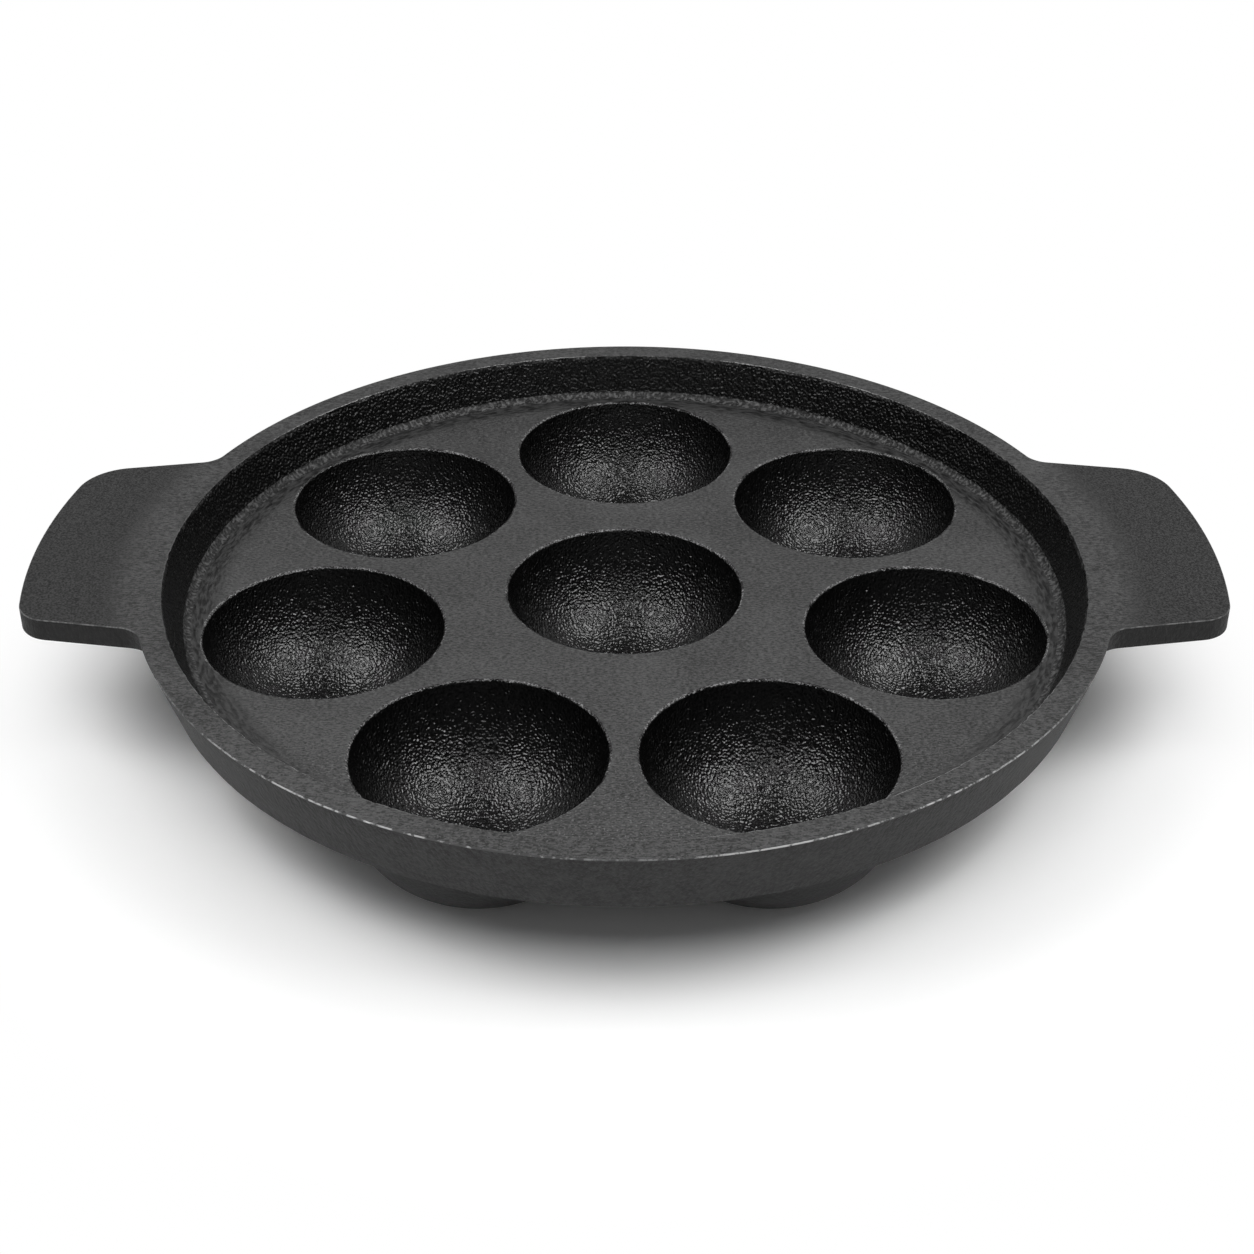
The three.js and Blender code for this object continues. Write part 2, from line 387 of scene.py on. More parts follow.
@dataclass(frozen=True)
class GroundIron:
    """Iron ground flat on top: fine grain drawn out into faint streaks, left pebbled and darker from a border
    on (on the deck, painted shade beside the rim's wall), with painted glints at the front.
    """

    name: str
    border: Span
    dark: float = 0.022
    light: float = 0.102
    tones: Span = (0.36, 0.64)
    gloss: float = 0.56
    gloss_spread: float = 0.16
    shine: float = 0.25
    grain: float = 0.34 * MM
    grain_depth: float = 0.09 * MM
    grain_relief: float = 0.6
    grain_share: float = 0.28
    streak: Triple = (0.42, 1.0, 1.0)
    streak_width: float = 1.1
    streak_share: float = 0.6
    cloud: float = 17.0 * MM
    cloud_share: float = 0.12
    cloud_shift: float = 3.0 * MM
    # Painted glints: size, share and level of the light dots at the front
    glint_speck: float = 0.5 * MM
    glint_speck_share: Span = (0.65, 0.76)
    glint_speck_level: float = 0.15
    # Darker border colour: pebbled tone and, on the deck, painted shade beside the rim's wall
    border_tone_and_shade_level: float = 0.033
    border_spread: float = 0.6
    border_gloss: float = 0.12
    pebble: float = 0.7 * MM
    pebble_depth: float = 0.42 * MM
    pebble_tops: Span = (0.3, 0.7)
    drawn: float = 3.2
    # Where the painted glints show and the painted border shade fades
    front: Span = (30.0 * MM, 85.0 * MM)
    border_shade_front_fade: float = 0.6

    def material(self) -> bpy.types.Material:
        """Make the material.

        Returns:
            The material.
        """
        bench = MaterialBench(self.name)
        x, y, _ = bench.xyz(bench.place)
        streak_waves = 1 / (self.streak_width * self.grain)
        grain = bench.noise(bench.place, 1 / self.grain, roughness=0.6)
        streaks = bench.noise(bench.stretch(bench.place, self.streak), streak_waves, roughness=0.6)
        clouds = bench.noise(bench.place, 1 / self.cloud, detail=3.0)
        tone = self.streak_share * streaks + self.grain_share * grain + self.cloud_share * clouds
        ground = bench.tint(bench.step(tone, *self.tones), grey(self.dark), grey(self.light))

        # Painted glints: small light dots, at the front only
        front = bench.step(-y, *self.front)
        glint_specks = bench.step(bench.noise(bench.place, 1 / self.glint_speck, detail=0.0), *self.glint_speck_share)
        ground = bench.tint(front * glint_specks, ground, grey(self.glint_speck_level))

        # Pebbles of the border, drawn out round the pan. On the deck the border's darker colour is painted
        # shade beside the rim's wall, fading towards the front
        reach = bench.reach()
        turn = self.border[0] / self.drawn / reach
        round_pan = bench.vector(x * turn, y * turn, reach)
        pebbles = bench.noise(round_pan, 1 / self.pebble, detail=1.0, roughness=0.4, distortion=0.3)
        border = bench.step(reach + (clouds - HALF) * self.cloud_shift, *self.border)
        levels = (grey(self.border_tone_and_shade_level * (1 + side * self.border_spread)) for side in (-1, 1))
        border_tone_and_shade = bench.tint(bench.step(pebbles, *self.pebble_tops), *levels)

        height = grain * (self.grain_relief * self.grain_depth / MM)
        height = height + streaks * ((1 - self.grain_relief) * self.grain_depth / MM)
        height = height + border * pebbles * (self.pebble_depth / MM)
        return bench.finish({
            # The painted border shade fades towards the front
            "Base Color": bench.tint(border * (1 - self.border_shade_front_fade * front), ground, border_tone_and_shade),
            "Roughness": self.gloss + self.gloss_spread * (streaks - HALF) - self.border_gloss * border,
            "Specular IOR Level": self.shine,
            "Normal": bench.bump(height, MM),
        })


@dataclass(frozen=True)
class SandCast:
    """Iron with the fine skin of the sand mould, mottled and drawn out down the wall, darker on the tabs."""

    name: str
    dark: float = 0.0095
    light: float = 0.03
    tones: Span = (0.38, 0.62)
    gloss: float = 0.6
    gloss_spread: float = 0.2
    shine: float = 0.3
    grain: float = 0.75 * MM
    grain_depth: float = 0.34 * MM
    grain_share: float = 0.5
    lie: Triple = (1.0, 1.0, 0.5)
    mottle: float = 3.6 * MM
    tabs: Span = NOWHERE
    tab_shade: float = 0.68

    def material(self) -> bpy.types.Material:
        """Make the material.

        Returns:
            The material.
        """
        bench = MaterialBench(self.name)
        tab = bench.step(bench.reach(), *self.tabs)
        lain = bench.stretch(bench.place, self.lie)
        grain = bench.noise(lain, 1 / self.grain, detail=3.0, roughness=0.6)
        mottle = bench.noise(lain, 1 / self.mottle, detail=4.0, roughness=0.6, distortion=0.4)
        tone = bench.step(self.grain_share * grain + (1 - self.grain_share) * mottle, *self.tones)
        return bench.finish({
            "Base Color": bench.tint(tone * (1 - self.tab_shade * tab), grey(self.dark), grey(self.light)),
            "Roughness": self.gloss + self.gloss_spread * (mottle - HALF),
            "Specular IOR Level": self.shine,
            "Normal": bench.bump(grain, self.grain_depth),
        })


@dataclass(frozen=True)
class EdgeWearAndHighlight:
    """An edge lightened partly by use and mostly as a painted highlight, in broken stretches that fade in the
    middle and towards the handles.
    """

    name: str
    dark: float = 0.03
    highlight_level: float = 0.42
    gloss: float = 0.25
    gloss_spread: float = 0.2
    shine: float = 0.8
    nick: float = 1.0 * MM
    nick_depth: float = 0.04 * MM
    nick_share: float = 0.6
    stretch: float = 18.0 * MM
    wear_and_highlight_span: Span = (0.44, 0.57)
    sides: Span = (66.0 * MM, 94.0 * MM)
    highlight_side_fade: float = 0.78
    middle: Span = (6.0 * MM, 24.0 * MM)
    highlight_middle_fade: float = 0.65

    def material(self) -> bpy.types.Material:
        """Make the material.

        Returns:
            The material.
        """
        bench = MaterialBench(self.name)
        x, _, _ = bench.xyz(bench.place)
        across = x.size()
        nicks = bench.noise(bench.place, 1 / self.nick, roughness=0.6)
        stretches = bench.noise(bench.place, 1 / self.stretch)
        wear_and_highlight = bench.step(self.nick_share * nicks + (1 - self.nick_share) * stretches, *self.wear_and_highlight_span)
        # The painted highlight fades towards the handles and in the middle of the front and back
        wear_and_highlight = wear_and_highlight * (1 - self.highlight_side_fade * bench.step(across, *self.sides))
        wear_and_highlight = wear_and_highlight * (1 - self.highlight_middle_fade * (1 - bench.step(across, *self.middle)))
        return bench.finish({
            "Base Color": bench.tint(wear_and_highlight, grey(self.dark), grey(self.highlight_level)),
            "Roughness": self.gloss + self.gloss_spread * (1 - wear_and_highlight),
            "Specular IOR Level": self.shine,
            "Normal": bench.bump(nicks, self.nick_depth),
        })


@dataclass(frozen=True)
class PanSizes:
    """Sizes that more than one sub-assembly shares, in metres."""

    ring_count: int = 7
    mouth_radius: float = 25.8 * MM
    cup_depth: float = 23.6 * MM
    lip_radius: float = 0.6 * MM
    edge_radius: float = 0.2 * MM
    deck_margin: float = 1.2 * MM
    hole_sides: int = 240

    @property
    def deck_bottom(self) -> float:
        """Height of the deck's underside."""
        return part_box("deck")[0].z

    @property
    def deck_top(self) -> float:
        """Height of the deck's upper face."""
        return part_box("deck")[1].z

    @property
    def rim_top(self) -> float:
        """Height of the rim's flat top."""
        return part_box("rim")[1].z

    @property
    def bowl_radius(self) -> float:
        """Radius of the ball that a cup's hollow is part of."""
        return (self.mouth_radius ** 2 + self.cup_depth ** 2) / (2 * self.cup_depth)

    @property
    def bowl_centre(self) -> float:
        """Height of that ball's centre."""
        return self.deck_top - self.cup_depth + self.bowl_radius

    @property
    def lip_height(self) -> float:
        """Height at which a cup's wall turns into its lip."""
        return self.deck_top - self.lip_radius

    @property
    def hole_radius(self) -> float:
        """Radius at which a lip runs out into the deck."""
        drop = self.lip_height - self.bowl_centre
        return math.sqrt(self.bowl_radius ** 2 - drop ** 2) + self.lip_radius

    @property
    def ring_radius(self) -> float:
        """Radius of the circle on which the ring of cups stands."""
        return self.cup_place("cup_1").y

    @property
    def seam_radius(self) -> float:
        """Radius at which the CAD deck ends and the CAD rim starts."""
        return self.cove_start - self.deck_margin / 2

    @property
    def tab_start(self) -> float:
        """Radius at which the rim's top ends and a handle's begins."""
        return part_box("rim")[1].x

    @property
    def cove_start(self) -> float:
        """Radius at which the deck runs into the cove."""
        return self.ring_radius + self.mouth_radius + self.lip_radius + self.deck_margin

    @staticmethod
    def cup_place(node: str) -> Vector:
        """The point on the ground under the middle of a CAD cup."""
        low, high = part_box(node)
        return Vector(((low.x + high.x) / 2, (low.y + high.y) / 2, 0.0))


@dataclass
class Finishes:
    """The finishes of the pan, one material each. A drop is how far below a top a finish starts and ends."""

    sizes: PanSizes
    border_width: float = 6.0 * MM
    border_blend: float = 4.0 * MM
    tab_side_blend: float = 4.0 * MM
    tab_top_blend: float = 8.0 * MM
    lip_drop: Span = (0.5 * MM, 0.1 * MM)
    brow_drop: Span = (1.0 * MM, 0.4 * MM)
    proud_drop: Span = (17.0 * MM, 4.0 * MM)

    def __post_init__(self) -> None:
        """Make the materials."""
        sizes, tab = self.sizes, self.sizes.tab_start
        border = sizes.cove_start - self.border_width
        lip, proud = (self._below(sizes.deck_top, drop) for drop in (self.lip_drop, self.proud_drop))
        brow = self._below(sizes.rim_top, self.brow_drop)
        # The cup lips and the wall's brow are lighter, partly rubbing by use and partly painted highlight
        self.cup = PebbledCast("black_cast_cup", wear_and_highlight=0.2, wear_and_highlight_heights=lip, proud_heights=proud).material()
        self.wall = PebbledCast(
            "black_cast_wall", low=0.0005, high=0.003, gloss=0.22, shine=0.4, index=1.5, pebble=0.62 * MM,
            pebble_depth=0.31 * MM, wear_and_highlight=0.07, wear_and_highlight_heights=brow).material()
        # The cove's pale colour is a painted highlight along the foot of the rim's wall
        self.cove = PebbledCast(
            "black_cast_cove_painted_highlight", low=0.016, high=0.105, gloss=0.4, index=1.5, pebble=0.7 * MM,
            pebble_depth=0.4 * MM).material()
        self.deck = GroundIron("ground_deck", (border, border + self.border_blend)).material()
        self.top = GroundIron(
            "ground_top", (tab, tab + self.tab_top_blend), dark=0.02, light=0.1, glint_speck_level=0.1,
            border_tone_and_shade_level=0.03, pebble=0.45 * MM, pebble_depth=0.05 * MM, drawn=1.0).material()
        self.side = SandCast("sand_cast_side", tabs=(tab, tab + self.tab_side_blend)).material()
        self.underside = SandCast(
            "sand_cast_underside", dark=0.01, light=0.023, grain_depth=0.16 * MM,
            lie=(1.0, 1.0, 1.0)).material()
        # The edges' light lines are partly rubbing by use and mostly painted highlight
        self.inner_edge_highlight = EdgeWearAndHighlight(
            "inner_edge_wear_and_highlight", dark=0.015, highlight_level=0.34, nick=0.6 * MM, wear_and_highlight_span=(0.42, 0.62)).material()
        self.outer_edge_highlight = EdgeWearAndHighlight("outer_edge_wear_and_highlight").material()

    @staticmethod
    def _below(top: float, drop: Span) -> Span:
        """The two heights that lie so far below a top."""
        return top - drop[0], top - drop[1]


class NodeTool(NodeBench):
    """A Geometry Nodes tree with named inputs, which is turned into plain meshes."""

    KINDS: dict[type, str] = {
        float: "NodeSocketFloat", int: "NodeSocketInt", Vector: "NodeSocketVector",
        bpy.types.Material: "NodeSocketMaterial",
    }

    def __init__(self, name: str, values: dict[str, Any]) -> None:
        """Start a tree.

        Args:
            name: The tree's name.
            values: An example value for each named input, which says its type.
        """
        super().__init__(bpy.data.node_groups.new(name, "GeometryNodeTree"))
        self.keys: dict[str, str] = {}
        for label, value in values.items():
            kind = self.KINDS[type(value)]
            socket = self.tree.interface.new_socket(label, in_out="INPUT", socket_type=kind)
            self.keys[label] = socket.identifier
        self.tree.interface.new_socket("Geometry", in_out="OUTPUT", socket_type="NodeSocketGeometry")
        self.source = self.add("NodeGroupInput")

    def input(self, label: str) -> Wire:
        """The wire of a named input."""
        return self.source.beside(label)

    def joined(self, shapes: list[Wire]) -> Wire:
        """Several geometries as one."""
        return self.add("GeometryNodeJoinGeometry", {0: shapes})

    def moved(self, shape: Wire, by: Wire) -> Wire:
        """A geometry moved by a vector."""
        return self.add("GeometryNodeTransform", {"Geometry": shape, "Translation": by})

    def realised(self, shape: Wire) -> Wire:
        """A geometry with its instances made real."""
        return self.add("GeometryNodeRealizeInstances", {"Geometry": shape})

    def end(self, shape: Wire, coats: list[tuple[str, Wire | bool]]) -> None:
        """Close the tree: realise what is instanced and set the materials.

        Args:
            shape: The geometry.
            coats: Name of a material input and the faces that get it, in order.
        """
        shape = self.realised(shape)
        for label, faces in coats:
            shape = self.add("GeometryNodeSetMaterial", {
                "Geometry": shape, "Selection": faces, "Material": self.input(label)})
        self.add("NodeGroupOutput", {0: shape})

    def bake(self, name: str, values: dict[str, Any]) -> bpy.types.Object:
        """Make one plain mesh object with the tree.

        Args:
            name: The object's name.
            values: A value for each named input.

        Returns:
            The object, at the origin and with no modifier.
        """
        piece = put_in_scene(name, bpy.data.meshes.new(name))
        modifier = piece.modifiers.new("shape", "NODES")
        modifier.node_group = self.tree
        for label, value in values.items():
            modifier[self.keys[label]] = value
        bpy.context.view_layer.update()
        seen = piece.evaluated_get(bpy.context.evaluated_depsgraph_get())
        mesh = bpy.data.meshes.new_from_object(seen)
        piece.modifiers.remove(modifier)
        piece.data = mesh
        mesh.name = name
        close_up(mesh)
        return piece


def close_up(mesh: bpy.types.Mesh) -> None:
    """Weld a mesh, point its faces outwards and shade it smooth with its true edges kept.

    Args:
        mesh: The mesh, changed in place.
    """
    shell = bmesh.new()
    shell.from_mesh(mesh)
    bmesh.ops.remove_doubles(shell, verts=shell.verts, dist=SAME_POINT)
    bmesh.ops.dissolve_degenerate(shell, edges=shell.edges, dist=SAME_POINT)
    bmesh.ops.recalc_face_normals(shell, faces=shell.faces)
    shell.to_mesh(mesh)
    shell.free()
    mesh.shade_smooth()
    mesh.set_sharp_from_angle(angle=SHARP_ANGLE)


def hand_in(piece: bpy.types.Object, nodes: list[str]) -> None:
    """Fix a finished piece to the CAD body and log it.

    Args:
        piece: The finished piece.
        nodes: The CAD nodes that it stands for.
    """
    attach(piece, BODY)
    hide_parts(*nodes)
    LOG.info("%s: %d faces, stands for %s", piece.name, len(piece.data.polygons), ", ".join(nodes))


@dataclass
class Cups:
    """The bowl-shaped cups: a hollow and lip above, a dome with a flat foot below."""

    sizes: PanSizes
    finishes: Finishes
    foot_radius: float = 9.0 * MM
    flare_radius: float = 0.8 * MM
    unevenness: float = 0.09 * MM
    uneven_length: float = 3.2 * MM
    bowl_rings: int = 72
    lip_rings: int = 6
    dome_rings: int = 20
    pieces: dict[str, bpy.types.Object] = field(default_factory=dict)

    def values(self, node: str) -> dict[str, Any]:
        """The sizes and finishes of one cup.

        Args:
            node: Its CAD node.

        Returns:
            A value for each named input of the tree.
        """
        sizes = self.sizes
        low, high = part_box(node)
        return {
            "Place": sizes.cup_place(node), "Sides": sizes.hole_sides, "Bowl rings": self.bowl_rings,
            "Lip rings": self.lip_rings, "Dome rings": self.dome_rings, "Bowl radius": sizes.bowl_radius,
            "Bowl centre": sizes.bowl_centre, "Lip height": sizes.lip_height, "Lip radius": sizes.lip_radius,
            "Hole radius": sizes.hole_radius, "Deck top": sizes.deck_top, "Deck bottom": sizes.deck_bottom,
            "Dome radius": (high.x - low.x) / 2, "Foot radius": self.foot_radius,
            "Flare radius": self.flare_radius, "Unevenness": self.unevenness,
            "Uneven waves": 1 / self.uneven_length, "Inside finish": self.finishes.cup,
            "Outside finish": self.finishes.underside,
        }

    def tool(self, values: dict[str, Any]) -> NodeTool:
        """Make the tree that turns one cup's profile round its axis.

        Args:
            values: An example value for each named input.

        Returns:
            The tree.
        """
        tool = NodeTool("cup_shape", values)
        get = tool.input
        bowl_radius, bowl_centre = get("Bowl radius"), get("Bowl centre")
        hole, lip, flare = get("Hole radius"), get("Lip radius"), get("Flare radius")
        top, bottom = get("Deck top"), get("Deck bottom")
        dome, foot = get("Dome radius"), get("Foot radius")
        mouth_angle = ((get("Lip height") - bowl_centre) / bowl_radius).arcsin()
        waist = bottom - flare
        swing = ((dome - foot) * (dome - foot) + waist * waist) / (2 * (dome - foot))
        axis = dome - swing
        foot_angle = -((foot - axis) / swing).arccos()

        def uneven(point: Wire, along: Wire) -> Wire:
            """How far the skin stands proud at a point, fading out towards the end of the stretch.

            Args:
                point: The point, with the cup at the origin.
                along: Its share of the stretch.

            Returns:
                The height over the smooth arc.
            """
            spot = tool.add("ShaderNodeVectorMath", {0: point, 1: get("Place")}, operation="ADD")
            swell = tool.noise(spot, get("Uneven waves"))
            return (swell - HALF) * get("Unevenness") * (1 - along * along * along * along)

        bowl = self._arc(tool, (0.0, bowl_centre), bowl_radius, (-QUARTER_TURN, mouth_angle),
                         get("Bowl rings"), uneven)
        rounded = self._arc(tool, (hole, get("Lip height")), lip, (math.pi, QUARTER_TURN), get("Lip rings"))
        collar = self._line(tool, (hole, top), (hole, bottom))
        shoulder = self._line(tool, (hole, bottom), (dome + flare, bottom))
        fillet = self._arc(tool, (dome + flare, waist), flare, (QUARTER_TURN, math.pi), get("Lip rings"))
        shell = self._arc(tool, (axis, waist), swing, (0.0, foot_angle), get("Dome rings"))
        sole = self._line(tool, (foot, 0.0), (0.0, 0.0))
        inside, outside = (
            tool.add("GeometryNodeStoreNamedAttribute", {
                "Geometry": tool.joined(stretches), "Name": "outside", "Value": is_outside},
                data_type="BOOLEAN", domain="FACE")
            for stretches, is_outside in (
                ([bowl, rounded], False), ([collar, shoulder, fillet, shell, sole], True)))
        whole = tool.add("GeometryNodeMergeByDistance", {
            "Geometry": tool.joined([inside, outside]), "Distance": SAME_POINT})
        marked = tool.add("GeometryNodeInputNamedAttribute", {"Name": "outside"}, data_type="BOOLEAN")
        tool.end(tool.moved(whole, get("Place")), [("Inside finish", True), ("Outside finish", marked)])
        return tool

    @staticmethod
    def _turned(tool: NodeTool, rings: Any, point: Callable[[Wire, Wire], Pair]) -> Wire:
        """Turn a stretch of profile round the axis.

        Args:
            tool: The tree.
            rings: Number of rings of faces.
            point: Gives radius and height for the share of the stretch and the angle round the axis.

        Returns:
            The turned stretch.
        """
        # The grid is one unit wide and centred, so its position plus a half runs from 0 to 1
        sheet = tool.add("GeometryNodeMeshGrid", {
            "Size X": 1.0, "Size Y": 1.0, "Vertices X": tool.input("Sides") + 1, "Vertices Y": rings + 1})
        x, y, _ = tool.xyz(tool.add("GeometryNodeInputPosition"))
        angle = (x + HALF) * FULL_TURN
        radius, height = point(y + HALF, angle)
        place = tool.vector(radius * angle.cos(), radius * angle.sin(), height)
        return tool.add("GeometryNodeSetPosition", {"Geometry": sheet, "Position": place})

    @classmethod
    def _arc(cls, tool: NodeTool, centre: Pair, radius: Wire, angles: Pair, rings: Wire,
             proud: Callable[[Wire, Wire], Wire] | None = None) -> Wire:
        """Turn an arc of the profile round the axis.

        Args:
            tool: The tree.
            centre: Radius and height of the arc's centre.
            radius: The arc's radius.
            angles: Its first and last angle.
            rings: Number of rings of faces.
            proud: Gives how far a point stands in from the arc.

        Returns:
            The turned arc.
        """
        def point(share: Wire, turn: Wire) -> Pair:
            """A point of the arc.

            Args:
                share: Its share of the arc.
                turn: The angle round the axis.

            Returns:
                Its radius and height.
            """
            angle = share * (angles[1] - angles[0]) + angles[0]
            reach = radius
            if proud is not None:
                flat = radius * angle.cos()
                spot = tool.vector(flat * turn.cos(), flat * turn.sin(), radius * angle.sin())
                reach = radius - proud(spot, share)
            return reach * angle.cos() + centre[0], reach * angle.sin() + centre[1]

        return cls._turned(tool, rings, point)

    @classmethod
    def _line(cls, tool: NodeTool, start: Pair, end: Pair) -> Wire:
        """Turn a straight stretch of the profile round the axis.

        Args:
            tool: The tree.
            start: Radius and height of its start.
            end: Radius and height of its end.

        Returns:
            The turned stretch.
        """
        def point(share: Wire, _: Wire) -> Pair:
            """Radius and height at a share of the line."""
            rest = 1 - share
            return share * end[0] + rest * start[0], share * end[1] + rest * start[1]

        return cls._turned(tool, 1, point)

    def build(self) -> None:
        """Make the mesh of every cup."""
        nodes = [*(f"cup_{i + 1}" for i in range(self.sizes.ring_count)), "cup_middle"]
        tool = self.tool(self.values(nodes[0]))
        for node in nodes:
            self.pieces[node] = tool.bake(node.replace("cup", "cup_bowl"), self.values(node))

    def dress(self) -> None:
        """Hand the cups in. Their finishes were set by the tree."""
        for node, piece in self.pieces.items():
            hand_in(piece, [node])


@dataclass
class Deck:
    """The recessed plate with the mouths of all the cups through it."""

    sizes: PanSizes
    finishes: Finishes
    overlap: float = 0.45 * MM
    sides: int = 480
    piece: bpy.types.Object | None = None

    def tool(self, values: dict[str, Any]) -> NodeTool:
        """Make the tree that fills the plate's outline, with its holes, and gives it thickness.

        Args:
            values: An example value for each named input.

        Returns:
            The tree.
        """
        tool = NodeTool("deck_shape", values)
        get = tool.input
        edge, hole = (
            tool.add("GeometryNodeCurvePrimitiveCircle", {"Resolution": get(sides), "Radius": get(radius)},
                     mode="RADIUS")
            for sides, radius in (("Sides", "Edge radius"), ("Hole sides", "Hole radius")))
        angle = tool.add("GeometryNodeInputIndex") * (FULL_TURN / get("Ring cups")) + QUARTER_TURN
        spots = tool.add("GeometryNodePoints", {
            "Count": get("Ring cups"),
            "Position": tool.vector(get("Ring radius") * angle.cos(), get("Ring radius") * angle.sin(), 0.0)})
        ring = tool.realised(tool.add("GeometryNodeInstanceOnPoints", {"Points": spots, "Instance": hole}))
        middle = tool.moved(hole, tool.vector(0.0, get("Middle set back"), 0.0))
        face = tool.add("GeometryNodeFillCurve", {"Curve": tool.joined([edge, ring, middle])})
        sunk = tool.add("GeometryNodeExtrudeMesh", {
            "Mesh": face, "Offset Scale": -get("Thickness"), "Individual": False}, mode="FACES")
        plate = tool.moved(tool.joined([face, sunk]), tool.vector(0.0, 0.0, get("Top")))
        _, _, rise = tool.xyz(tool.add("GeometryNodeInputNormal"))
        tool.end(plate, [("Finish", True), ("Underside finish", rise.less_than(0.0))])
        return tool

    def build(self) -> None:
        """Make the deck's mesh."""
        sizes = self.sizes
        values = {
            "Edge radius": sizes.seam_radius + self.overlap, "Hole radius": sizes.hole_radius,
            "Ring radius": sizes.ring_radius, "Middle set back": sizes.cup_place("cup_middle").y,
            "Top": sizes.deck_top, "Thickness": sizes.deck_top - sizes.deck_bottom,
            "Ring cups": sizes.ring_count, "Sides": self.sides, "Hole sides": sizes.hole_sides,
            "Finish": self.finishes.deck, "Underside finish": self.finishes.underside,
        }
        self.piece = self.tool(values).bake("deck_plate", values)

    def dress(self) -> None:
        """Hand the deck in. Its finish was set by the tree."""
        hand_in(self.piece, ["deck"])


@dataclass(frozen=True)
class Station:
    """A point of the outline of rim and handles from above, with its outward normal.

    tab is 0 on the rim, 1 on a handle, and between them on the root fillet.
    """

    x: float
    y: float
    nx: float
    ny: float
    tab: float

    def mirrored(self) -> "Station":
        """The same point on the other handle's side."""
        return Station(-self.x, self.y, -self.nx, self.ny, self.tab)


@dataclass(frozen=True)
class TabSide:
    """One long side of a tab handle: the centres of its root fillet and of its outer corner."""

    fillet: Vector
    corner: Vector
    lean: float

    @property
    def fillet_angle(self) -> float:
        """Direction of the fillet's centre from the middle of the pan."""
        return math.atan2(self.fillet.y, self.fillet.x)

    @property
    def corner_angle(self) -> float:
        """Direction of the corner's centre from the middle of the pan."""
        return math.atan2(self.corner.y, self.corner.x)


